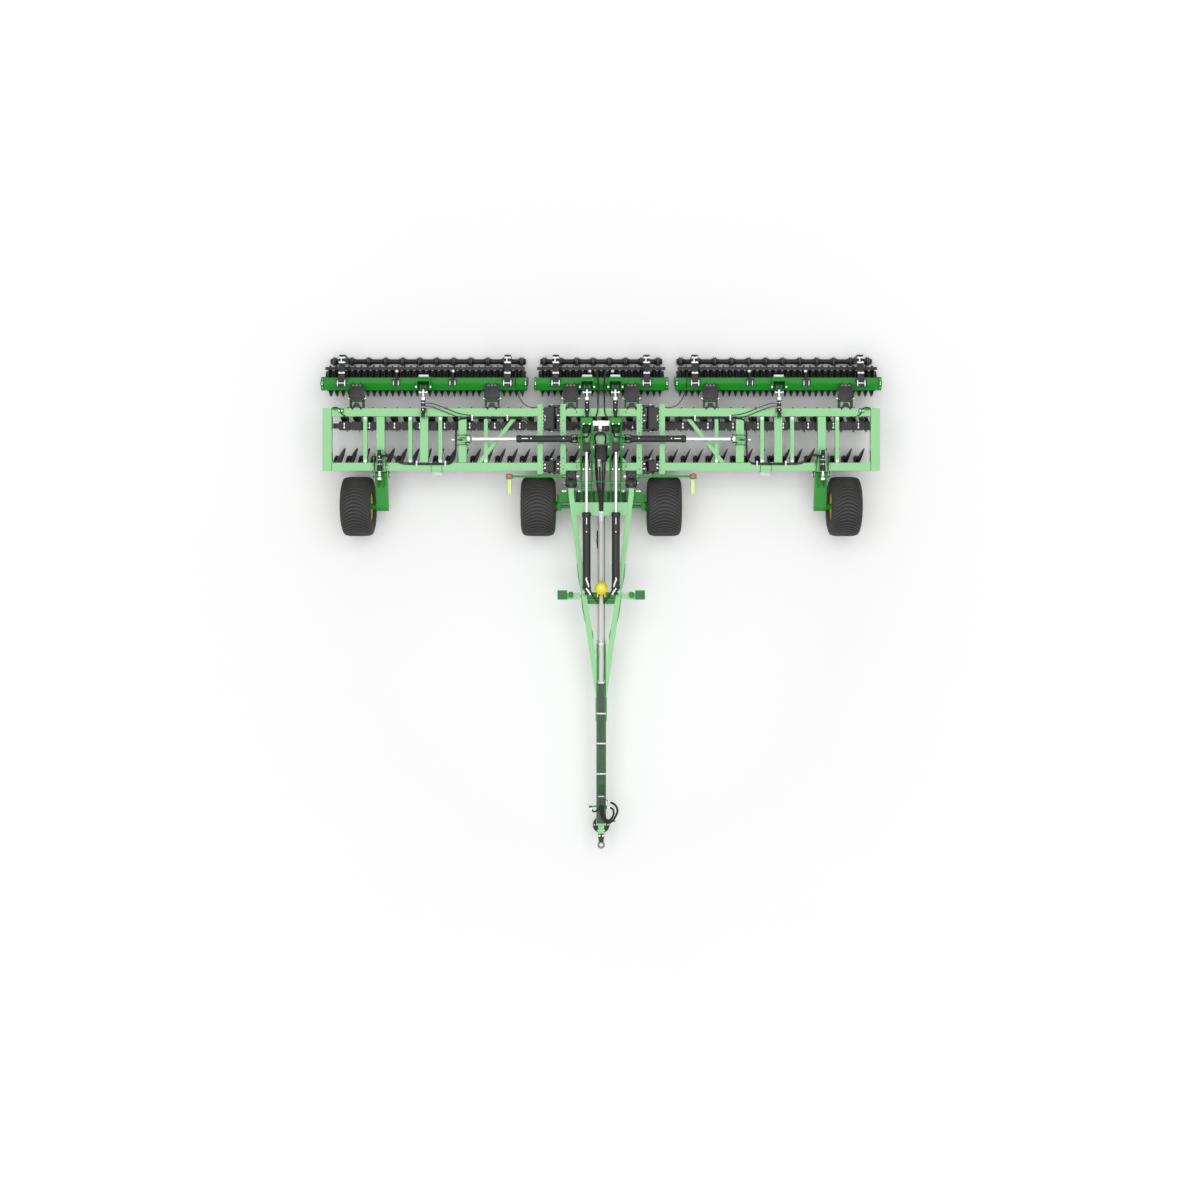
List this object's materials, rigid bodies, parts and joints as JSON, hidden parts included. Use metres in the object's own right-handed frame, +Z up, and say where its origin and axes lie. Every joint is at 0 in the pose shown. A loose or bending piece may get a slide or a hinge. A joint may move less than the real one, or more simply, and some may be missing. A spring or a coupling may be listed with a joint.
{
  "type": "folding high-speed disc harrow",
  "caption": "Towed folding disc harrow with two rows of dished discs, ring rollers behind, gauge wheels ahead and a long drawbar with a towing eye and a parking jack.",
  "frame": {"origin": "on the ground under the middle of the machine in plan", "axes": "+X across the machine to its right seen from above with the drawbar down, +Y towards the rollers at the rear, +Z up"},
  "size_m": [11.172, 9.941, 1.53],
  "materials": {
    "green_paint": "gloss green paint",
    "forged_steel": "dark forged steel",
    "black_paint": "satin black paint",
    "yellow_paint": "gloss yellow paint",
    "pale_plastic": "pale grey plastic",
    "hose_rubber": "matte black rubber hose",
    "valve_alloy": "machined alloy",
    "bare_steel": "dark bare steel",
    "chrome_rod": "polished chrome",
    "tyre_rubber": "matte black rubber"
  },
  "bodies": {
    "drawbar": {"tongue_frame": "green_paint", "wing_rests": "green_paint", "hitch_eye": "forged_steel", "parking_jack": "black_paint", "accumulator": "yellow_paint", "hose_conduit": "pale_plastic", "hose_bundle": "hose_rubber"},
    "centre": {"centre_frame": "green_paint", "hinge_lugs": "black_paint", "tilt_towers": "green_paint", "transport_axle": "green_paint", "manifold": "valve_alloy", "lamp_bars": "green_paint", "discs_centre": "bare_steel", "disc_arms_centre": "black_paint"},
    "tilt_barrel": {"tilt_barrels": "black_paint"},
    "tilt_rod": {"tilt_rods": "chrome_rod"},
    "roller_arms_centre": {"roller_frame_centre": "green_paint"},
    "roller_centre": {"ring_roller_centre": "bare_steel"},
    "crumbler_centre": {"basket_centre": "black_paint"},
    "press_barrel_centre": {"press_barrel_centre": "black_paint"},
    "press_rod_centre": {"press_rod_centre": "chrome_rod"},
    "wing_left": {"wing_frame_left": "green_paint", "wing_hinge_left": "black_paint", "discs_left": "bare_steel", "disc_arms_left": "black_paint"},
    "transport_wheel_left": {"transport_tyre_left": "tyre_rubber", "transport_rim_left": "yellow_paint"},
    "wing_wheel_left": {"wing_tyre_left": "tyre_rubber", "wing_rim_left": "yellow_paint"},
    "wheel_arm_left": {"wheel_arm_left": "green_paint"},
    "fold_barrel_left": {"fold_barrel_left": "black_paint"},
    "fold_rod_left": {"fold_rod_left": "chrome_rod"},
    "lift_barrel_left": {"lift_barrel_left": "black_paint"},
    "lift_rod_left": {"lift_rod_left": "chrome_rod"},
    "roller_arms_left": {"roller_frame_left": "green_paint"},
    "roller_left": {"ring_roller_left": "bare_steel"},
    "crumbler_left": {"basket_left": "black_paint"},
    "press_barrel_left": {"press_barrel_left": "black_paint"},
    "press_rod_left": {"press_rod_left": "chrome_rod"},
    "wing_right": {"wing_frame_right": "green_paint", "wing_hinge_right": "black_paint", "discs_right": "bare_steel", "disc_arms_right": "black_paint"},
    "transport_wheel_right": {"transport_tyre_right": "tyre_rubber", "transport_rim_right": "yellow_paint"},
    "wing_wheel_right": {"wing_tyre_right": "tyre_rubber", "wing_rim_right": "yellow_paint"},
    "wheel_arm_right": {"wheel_arm_right": "green_paint"},
    "fold_barrel_right": {"fold_barrel_right": "black_paint"},
    "fold_rod_right": {"fold_rod_right": "chrome_rod"},
    "lift_barrel_right": {"lift_barrel_right": "black_paint"},
    "lift_rod_right": {"lift_rod_right": "chrome_rod"},
    "roller_arms_right": {"roller_frame_right": "green_paint"},
    "roller_right": {"ring_roller_right": "bare_steel"},
    "crumbler_right": {"basket_right": "black_paint"},
    "press_barrel_right": {"press_barrel_right": "black_paint"},
    "press_rod_right": {"press_rod_right": "chrome_rod"}
  },
  "joints": [
    {"name": "frame_tilt", "type": "hinge", "parent": "drawbar", "child": "centre", "pos_m": [0, 2.369, 0.9], "axis": [1, 0, 0], "range_deg": [0, 90]},
    {"name": "tilt_barrel_swivel", "type": "hinge", "parent": "drawbar", "child": "tilt_barrel", "pos_m": [0, 0.205, 1.05], "axis": [1, 0, 0], "range_deg": [0, 9.53]},
    {"name": "tilt_rod_slide", "type": "slide", "parent": "tilt_barrel", "child": "tilt_rod", "axis": [0, 0.9901, 0.1402], "range_m": [-1.16254, 0]},
    {"name": "wing_fold_left", "type": "hinge", "parent": "centre", "child": "wing_left", "pos_m": [-0.981, 0, 0.85], "axis": [0, 1, 0], "range_deg": [0, 95]},
    {"name": "fold_barrel_swivel_left", "type": "hinge", "parent": "centre", "child": "fold_barrel_left", "pos_m": [-0.52, 3.22, 1.15], "axis": [0, 1, 0], "range_deg": [0, 88.84]},
    {"name": "fold_rod_slide_left", "type": "slide", "parent": "fold_barrel_left", "child": "fold_rod_left", "axis": [-0.9999, 0, -0.0143], "range_m": [-0.79164, 0]},
    {"name": "wheel_lift_left", "type": "hinge", "parent": "wing_left", "child": "wheel_arm_left", "pos_m": [-4.38, 2.54, 0.8], "axis": [1, 0, 0], "range_deg": [-10, 20]},
    {"name": "lift_barrel_swivel_left", "type": "hinge", "parent": "wing_left", "child": "lift_barrel_left", "pos_m": [-4.38, 2.97, 1.06], "axis": [1, 0, 0], "range_deg": [-2.04, 4.07]},
    {"name": "lift_rod_slide_left", "type": "slide", "parent": "lift_barrel_left", "child": "lift_rod_left", "axis": [0, -0.9998, -0.0189], "range_m": [-0.04251, 0.08503]},
    {"name": "transport_wheel_spin_left", "type": "hinge", "parent": "centre", "child": "transport_wheel_left", "pos_m": [-1.259, 1.916, 0.595], "axis": [1, 0, 0], "continuous": true},
    {"name": "wing_wheel_spin_left", "type": "hinge", "parent": "wheel_arm_left", "child": "wing_wheel_left", "pos_m": [-4.865, 1.916, 0.595], "axis": [1, 0, 0], "continuous": true},
    {"name": "wing_fold_right", "type": "hinge", "parent": "centre", "child": "wing_right", "pos_m": [0.981, 0, 0.85], "axis": [0, -1, 0], "range_deg": [0, 95]},
    {"name": "fold_barrel_swivel_right", "type": "hinge", "parent": "centre", "child": "fold_barrel_right", "pos_m": [0.52, 3.22, 1.15], "axis": [0, -1, 0], "range_deg": [0, 88.84]},
    {"name": "fold_rod_slide_right", "type": "slide", "parent": "fold_barrel_right", "child": "fold_rod_right", "axis": [0.9999, 0, -0.0143], "range_m": [-0.79164, 0]},
    {"name": "wheel_lift_right", "type": "hinge", "parent": "wing_right", "child": "wheel_arm_right", "pos_m": [4.38, 2.54, 0.8], "axis": [1, 0, 0], "range_deg": [-10, 20]},
    {"name": "lift_barrel_swivel_right", "type": "hinge", "parent": "wing_right", "child": "lift_barrel_right", "pos_m": [4.38, 2.97, 1.06], "axis": [1, 0, 0], "range_deg": [-2.04, 4.07]},
    {"name": "lift_rod_slide_right", "type": "slide", "parent": "lift_barrel_right", "child": "lift_rod_right", "axis": [0, -0.9998, -0.0189], "range_m": [-0.04251, 0.08503]},
    {"name": "transport_wheel_spin_right", "type": "hinge", "parent": "centre", "child": "transport_wheel_right", "pos_m": [1.259, 1.916, 0.595], "axis": [1, 0, 0], "continuous": true},
    {"name": "wing_wheel_spin_right", "type": "hinge", "parent": "wheel_arm_right", "child": "wing_wheel_right", "pos_m": [4.865, 1.916, 0.595], "axis": [1, 0, 0], "continuous": true},
    {"name": "roller_swing_left", "type": "hinge", "parent": "wing_left", "child": "roller_arms_left", "pos_m": [-3.515, 4.052, 0.85], "axis": [1, 0, 0], "range_deg": [-10, 10]},
    {"name": "press_barrel_swivel_left", "type": "hinge", "parent": "wing_left", "child": "press_barrel_left", "pos_m": [-3.515, 3.7, 1.08], "axis": [1, 0, 0], "range_deg": [-3.6, 3.6]},
    {"name": "press_rod_slide_left", "type": "slide", "parent": "press_barrel_left", "child": "press_rod_left", "axis": [0, 1, 0], "range_m": [-0.04018, 0.04018]},
    {"name": "roller_spin_left", "type": "hinge", "parent": "roller_arms_left", "child": "roller_left", "pos_m": [-3.515, 4.468, 0.315], "axis": [1, 0, 0], "continuous": true},
    {"name": "crumbler_spin_left", "type": "hinge", "parent": "roller_arms_left", "child": "crumbler_left", "pos_m": [-3.515, 4.89, 0.1], "axis": [1, 0, 0], "continuous": true},
    {"name": "roller_swing_centre", "type": "hinge", "parent": "centre", "child": "roller_arms_centre", "pos_m": [0, 4.052, 0.85], "axis": [1, 0, 0], "range_deg": [-10, 10]},
    {"name": "press_barrel_swivel_centre", "type": "hinge", "parent": "centre", "child": "press_barrel_centre", "pos_m": [0, 3.7, 1.08], "axis": [1, 0, 0], "range_deg": [-3.6, 3.6]},
    {"name": "press_rod_slide_centre", "type": "slide", "parent": "press_barrel_centre", "child": "press_rod_centre", "axis": [0, 1, 0], "range_m": [-0.04018, 0.04018]},
    {"name": "roller_spin_centre", "type": "hinge", "parent": "roller_arms_centre", "child": "roller_centre", "pos_m": [0, 4.468, 0.315], "axis": [1, 0, 0], "continuous": true},
    {"name": "crumbler_spin_centre", "type": "hinge", "parent": "roller_arms_centre", "child": "crumbler_centre", "pos_m": [0, 4.89, 0.1], "axis": [1, 0, 0], "continuous": true},
    {"name": "roller_swing_right", "type": "hinge", "parent": "wing_right", "child": "roller_arms_right", "pos_m": [3.515, 4.052, 0.85], "axis": [1, 0, 0], "range_deg": [-10, 10]},
    {"name": "press_barrel_swivel_right", "type": "hinge", "parent": "wing_right", "child": "press_barrel_right", "pos_m": [3.515, 3.7, 1.08], "axis": [1, 0, 0], "range_deg": [-3.6, 3.6]},
    {"name": "press_rod_slide_right", "type": "slide", "parent": "press_barrel_right", "child": "press_rod_right", "axis": [0, 1, 0], "range_m": [-0.04018, 0.04018]},
    {"name": "roller_spin_right", "type": "hinge", "parent": "roller_arms_right", "child": "roller_right", "pos_m": [3.515, 4.468, 0.315], "axis": [1, 0, 0], "continuous": true},
    {"name": "crumbler_spin_right", "type": "hinge", "parent": "roller_arms_right", "child": "crumbler_right", "pos_m": [3.515, 4.89, 0.1], "axis": [1, 0, 0], "continuous": true}
  ],
  "couplings": [
    {"joint": "tilt_barrel_swivel", "follows": "frame_tilt", "ratio": 0.10565},
    {"joint": "tilt_rod_slide", "follows": "frame_tilt", "m_per_rad": -0.73862},
    {"joint": "fold_barrel_swivel_left", "follows": "wing_fold_left", "ratio": 0.93334},
    {"joint": "fold_rod_slide_left", "follows": "wing_fold_left", "m_per_rad": -0.4765},
    {"joint": "lift_barrel_swivel_left", "follows": "wheel_lift_left", "ratio": 0.20322},
    {"joint": "lift_rod_slide_left", "follows": "wheel_lift_left", "m_per_rad": 0.2431},
    {"joint": "fold_barrel_swivel_right", "follows": "wing_fold_right", "ratio": 0.93334},
    {"joint": "fold_rod_slide_right", "follows": "wing_fold_right", "m_per_rad": -0.4765},
    {"joint": "lift_barrel_swivel_right", "follows": "wheel_lift_right", "ratio": 0.20322},
    {"joint": "lift_rod_slide_right", "follows": "wheel_lift_right", "m_per_rad": 0.2431},
    {"joint": "press_barrel_swivel_left", "follows": "roller_swing_left", "ratio": 0.35932},
    {"joint": "press_rod_slide_left", "follows": "roller_swing_left", "m_per_rad": -0.22977},
    {"joint": "press_barrel_swivel_centre", "follows": "roller_swing_centre", "ratio": 0.35932},
    {"joint": "press_rod_slide_centre", "follows": "roller_swing_centre", "m_per_rad": -0.22977},
    {"joint": "press_barrel_swivel_right", "follows": "roller_swing_right", "ratio": 0.35932},
    {"joint": "press_rod_slide_right", "follows": "roller_swing_right", "m_per_rad": -0.22977}
  ]
}
